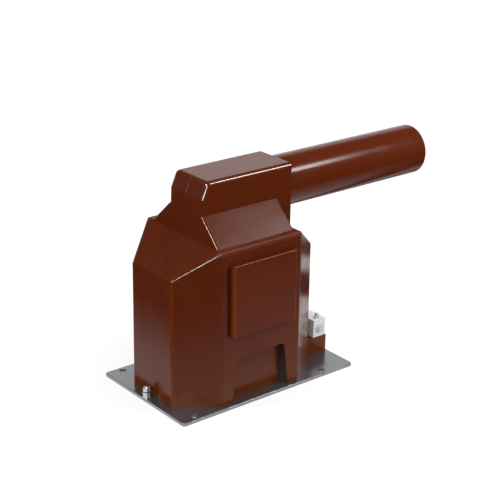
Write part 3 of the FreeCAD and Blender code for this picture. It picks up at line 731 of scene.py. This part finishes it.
class TRANSFORMER_OT_earthing(bpy.types.Operator):
    """Finish the earthing nuts and washers and cut the stud's thread"""
    bl_idname = "transformer.earthing"
    bl_label = "Earthing stud"

    def execute(self, context):
        settings = context.scene.transformer_metal
        zinc = plated_finish("zinc_plating", settings.zinc_colour, 0.18, 0.36, metallic=0.8)
        dress(["earth_nuts", "earth_washers", "earth_stud"], zinc)
        dress(["earth_spring_washer"],
              plated_finish("blued_spring_steel", settings.spring_colour, 0.30, 0.45))
        low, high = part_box("earth_stud")
        radius = (high[0] - low[0]) / 2
        plate_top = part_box("base_plate")[1][2]
        tip_rounding = 1.1 * MM
        points, rows = threaded_rod(radius, settings.thread_depth, settings.thread_pitch, low[2], high[2],
                                    plate_top, tip_rounding)
        points[:, 0] += (low[0] + high[0]) / 2
        points[:, 1] += (low[1] + high[1]) / 2
        stud = surface_piece("earth_stud_thread", points, grid_faces(rows, len(points) // rows))
        stud.data.materials.append(zinc)
        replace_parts(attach(stud, "root"), "earth_stud")
        return {"FINISHED"}


class TRANSFORMER_OT_terminals(bpy.types.Operator):
    """Finish the terminals, the clear cover over them and its knurled screws"""
    bl_idname = "transformer.terminals"
    bl_label = "Terminals and cover"

    def execute(self, context):
        metal = context.scene.transformer_metal
        settings = context.scene.transformer_cover
        nickel = plated_finish("nickel_plating", metal.nickel_colour, 0.18, 0.34)
        dress(["terminal_screws", "terminal_clamps", "terminal_washers"], nickel)
        plated = plated_finish("plating_of_cover_screws", metal.zinc_colour, 0.25, 0.40, metallic=0.8)
        dress(["cover_screws"], plated)
        dress(["terminal_spring_washers"],
              plated_finish("spring_steel_of_terminals", metal.spring_colour, 0.30, 0.45))
        dress(["terminal_cover"], cover_finish(settings))
        dress(["cover_grommets"], dull_finish("grey_rubber", settings.rubber_colour, 0.45, 0.65))
        low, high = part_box("cover_screws")
        cover_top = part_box("terminal_cover")[1][2]
        radius = (high[0] - low[0]) / 2
        rim = 0.9 * MM
        slot_depth = 2.5 * MM
        points, faces = knurled_band(radius, settings.knurl_depth, cover_top + rim,
                                     high[2] - slot_depth - rim, settings.knurl_teeth, settings.knurl_depth)
        both, all_faces = [], []
        for count, y in enumerate((low[1] + radius, high[1] - radius)):
            both.append(points + np.array([(low[0] + high[0]) / 2, y, 0.0]))
            all_faces += [[index + count * len(points) for index in face] for face in faces]
        band = surface_piece("cover_screw_knurls", np.concatenate(both), all_faces, smooth=False)
        band.data.materials.append(plated)
        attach(band, "root")
        return {"FINISHED"}


class TRANSFORMER_OT_fuse(bpy.types.Operator):
    """Finish the fuse link, its contacts and the end cap of the tube"""
    bl_idname = "transformer.fuse"
    bl_label = "Fuse and end cap"

    def execute(self, context):
        metal = context.scene.transformer_metal
        dress(["fuse_link"], dull_finish("glazed_ceramic", (0.74, 0.71, 0.63), 0.12, 0.25, wave=0.02))
        dress(["fuse_caps", "end_cap"],
              plated_finish("nickel_plating_of_caps", metal.nickel_colour, 0.20, 0.38))
        dress(["contact_spring"], plated_finish("spring_wire", metal.zinc_colour, 0.25, 0.40))
        dress(["end_gasket"], dull_finish("black_rubber", (0.025, 0.025, 0.026), 0.55, 0.75))
        return {"FINISHED"}


def lamp(name, power, length, width, place, aim, only_gloss):
    """Soft rectangular lamp that faces an aim point, with its length laid along the object's X. With
    only_gloss it shows in reflections and lights nothing."""
    data = bpy.data.lights.new(name, "AREA")
    data.shape = "RECTANGLE"
    data.size = length
    data.size_y = width
    data.energy = power
    made = bpy.data.objects.new(name, data)
    back = (Vector(place) - Vector(aim)).normalized()
    across = (Vector((1, 0, 0)) - back * back.x).normalized()
    made.visible_diffuse = not only_gloss
    made.location = place
    made.rotation_mode = "QUATERNION"
    made.rotation_quaternion = Matrix((across, back.cross(across), back)).transposed().to_quaternion()
    bpy.context.scene.collection.objects.link(made)
    return made


def floor_finish(settings):
    """Pale floor that shows the object's shadow. The camera sees it white all over, and reflections
    see it pale near the object, dark at the front and the left, and crossed by two dark stands."""
    made = bpy.data.materials.new("studio_floor")
    made.use_nodes = True
    tree = made.node_tree
    tree.nodes.clear()
    place, split = position(tree)
    front = ramp(tree, split["Y"], settings.dark_front, settings.pale_front, 0.0, 0.85)
    left = ramp(tree, split["X"], settings.pale_left - settings.pale_fade, settings.pale_left, 0.0, 1.0)
    right = dark_stands(tree, place)
    pale = maths(tree, "MULTIPLY", maths(tree, "MULTIPLY", front, left), right)
    path = put(tree, "ShaderNodeLightPath").outputs
    straight = maths(tree, "MAXIMUM", path["Is Camera Ray"], path["Is Transmission Ray"])
    white = (1.0, 1.0, 1.0, 1.0)
    paint = put(tree, "ShaderNodeBsdfDiffuse", {"Color": opaque([settings.floor_paint] * 3)})
    lift = maths(tree, "MULTIPLY", straight, settings.floor_glow)
    glow = put(tree, "ShaderNodeEmission", {"Color": white, "Strength": lift})
    plain = put(tree, "ShaderNodeAddShader", {0: paint.outputs[0], 1: glow.outputs[0]})
    darkest = 0.02
    mirrored = put(tree, "ShaderNodeEmission", {"Color": white, "Strength": maths(tree, "ADD", pale, darkest)})
    both = put(tree, "ShaderNodeMixShader",
               {0: path["Is Glossy Ray"], 1: plain.outputs[0], 2: mirrored.outputs[0]})
    put(tree, "ShaderNodeOutputMaterial", {"Surface": both.outputs[0]})
    return made


def dark_stands(tree, place):
    """1 on the floor and 0 across two dark stands, which lie behind the object at the right, square to
    the direction in which the far chamfer looks. Their borders are given along that direction."""
    looks = (0.76, 0.65, 0.0)
    first, second = (0.355, 0.385, 0.50, 0.53), (0.585, 0.61, 0.70, 0.73)
    along = put(tree, "ShaderNodeVectorMath", {0: place, 1: looks}, operation="DOT_PRODUCT")
    depth = along.outputs["Value"]
    before = ramp(tree, depth, first[0], first[1], 1.0, 0.0)
    between = maths(tree, "MULTIPLY", ramp(tree, depth, first[2], first[3], 0.0, 1.0),
                    ramp(tree, depth, second[0], second[1], 1.0, 0.0))
    beyond = ramp(tree, depth, second[2], second[3], 0.0, 1.0)
    return maths(tree, "ADD", maths(tree, "ADD", before, between), beyond)


def room(settings):
    """World with even soft light. The camera sees it white all round, and reflections see a white
    backdrop low down behind the object and an unlit room elsewhere."""
    world = bpy.data.worlds.new("studio_room")
    world.use_nodes = True
    tree = world.node_tree
    tree.nodes.clear()
    white = (1.0, 1.0, 1.0, 1.0)
    place = put(tree, "ShaderNodeTexCoord").outputs["Generated"]
    split = put(tree, "ShaderNodeSeparateXYZ", {0: place}).outputs
    low = ramp(tree, split["Z"], 0.42, 0.58, 1.0, 0.0)
    inward = put(tree, "ShaderNodeVectorMath", {0: place, 1: (0.8, 0.6, 0.0)}, operation="DOT_PRODUCT")
    behind = ramp(tree, inward.outputs["Value"], 0.15, 0.45, settings.dark_room, 1.0)
    backdrop = maths(tree, "MAXIMUM", maths(tree, "MULTIPLY", low, behind), settings.dark_room)
    path = put(tree, "ShaderNodeLightPath").outputs
    straight = maths(tree, "MAXIMUM", path["Is Camera Ray"], path["Is Transmission Ray"])
    left_share = ramp(tree, split["X"], -1.0, 1.0, 1.22 * settings.room_light, 0.80 * settings.room_light)
    light = put(tree, "ShaderNodeBackground", {"Color": white, "Strength": left_share})
    mirrored = put(tree, "ShaderNodeBackground", {"Color": white, "Strength": backdrop})
    seen = put(tree, "ShaderNodeBackground", {"Color": white, "Strength": 1.0})
    with_gloss = put(tree, "ShaderNodeMixShader",
                     {0: path["Is Glossy Ray"], 1: light.outputs[0], 2: mirrored.outputs[0]})
    mixed = put(tree, "ShaderNodeMixShader", {0: straight, 1: with_gloss.outputs[0], 2: seen.outputs[0]})
    put(tree, "ShaderNodeOutputWorld", {"Surface": mixed.outputs[0]})
    return world


# Name, power setting, length, width, place, aim, and whether it shows only in reflections
LAMPS = (
    ("key_lamp", "key_power", 0.45, 0.38, (1.17, -0.935, 1.56), (0.06, -0.04, 0.36), False),
    ("side_lamp", "side_power", 0.42, 0.42, (-1.66, -0.45, 1.47), (-0.08, -0.05, 0.30), True),
    ("low_lamp", "low_power", 0.30, 0.30, (-1.50, -1.50, 0.75), (-0.05, 0.0, 0.38), True),
    ("shoulder_lamp", "shoulder_power", 0.30, 0.20, (1.0, -0.58, 1.53), (0.06, -0.07, 0.33), False),
)


class TRANSFORMER_OT_studio(bpy.types.Operator):
    """Build the floor, the lamps, the white room and the camera"""
    bl_idname = "transformer.studio"
    bl_label = "Studio"

    def execute(self, context):
        settings = context.scene.transformer_studio
        reach = 12.0
        drop = 0.3 * MM
        corners = np.array([(-reach, -reach, -drop), (reach, -reach, -drop), (reach, reach, -drop),
                            (-reach, reach, -drop)])
        floor = surface_piece("studio_floor", corners, [[0, 1, 2, 3]], smooth=False)
        floor.data.materials.append(floor_finish(settings))

        context.scene.world = room(settings)

        middle = Vector(settings.target)
        for name, power, length, width, place, aim, only_gloss in LAMPS:
            lamp(name, getattr(settings, power), length, width, place, aim, only_gloss)

        context.scene.view_settings.view_transform = "Standard"
        data = bpy.data.cameras.new("camera")
        data.sensor_width = 36.0
        data.lens = settings.lens
        data.shift_x = settings.shift_x
        data.shift_y = settings.shift_y
        camera = bpy.data.objects.new("camera", data)
        level = math.cos(settings.elevation)
        back = Vector((-math.sin(settings.azimuth) * level, -math.cos(settings.azimuth) * level,
                       math.sin(settings.elevation)))
        camera.location = middle + back * settings.distance
        camera.rotation_mode = "QUATERNION"
        camera.rotation_quaternion = (-back).to_track_quat("-Z", "Y") @ Quaternion((0, 0, 1), settings.roll)
        context.scene.collection.objects.link(camera)
        context.scene.camera = camera
        return {"FINISHED"}


class TRANSFORMER_PT_panel(bpy.types.Panel):
    """Steps that finish the transformer, in order"""
    bl_idname = "TRANSFORMER_PT_panel"
    bl_label = "Voltage transformer"
    bl_space_type = "VIEW_3D"
    bl_region_type = "UI"
    bl_category = "Transformer"

    def draw(self, context):
        for step in STEPS:
            self.layout.operator(step.bl_idname)


STEPS = (TRANSFORMER_OT_casting, TRANSFORMER_OT_plate, TRANSFORMER_OT_earthing, TRANSFORMER_OT_terminals,
         TRANSFORMER_OT_fuse, TRANSFORMER_OT_studio)
SETTINGS = {"transformer_casting": TransformerCasting, "transformer_metal": TransformerMetal,
            "transformer_cover": TransformerCover, "transformer_studio": TransformerStudio}


def register():
    """Adds the settings, the steps and the panel."""
    for made in (*SETTINGS.values(), *STEPS, TRANSFORMER_PT_panel):
        bpy.utils.register_class(made)
    for name, made in SETTINGS.items():
        setattr(bpy.types.Scene, name, bpy.props.PointerProperty(type=made))


def unregister():
    """Takes the settings, the steps and the panel off again."""
    for name in SETTINGS:
        delattr(bpy.types.Scene, name)
    for made in (TRANSFORMER_PT_panel, *STEPS, *SETTINGS.values()):
        bpy.utils.unregister_class(made)


def main():
    """Runs every step in order."""
    register()
    bpy.ops.transformer.casting()
    bpy.ops.transformer.plate()
    bpy.ops.transformer.earthing()
    bpy.ops.transformer.terminals()
    bpy.ops.transformer.fuse()
    bpy.ops.transformer.studio()
    bpy.context.view_layer.update()


if __name__ == "__main__":
    main()
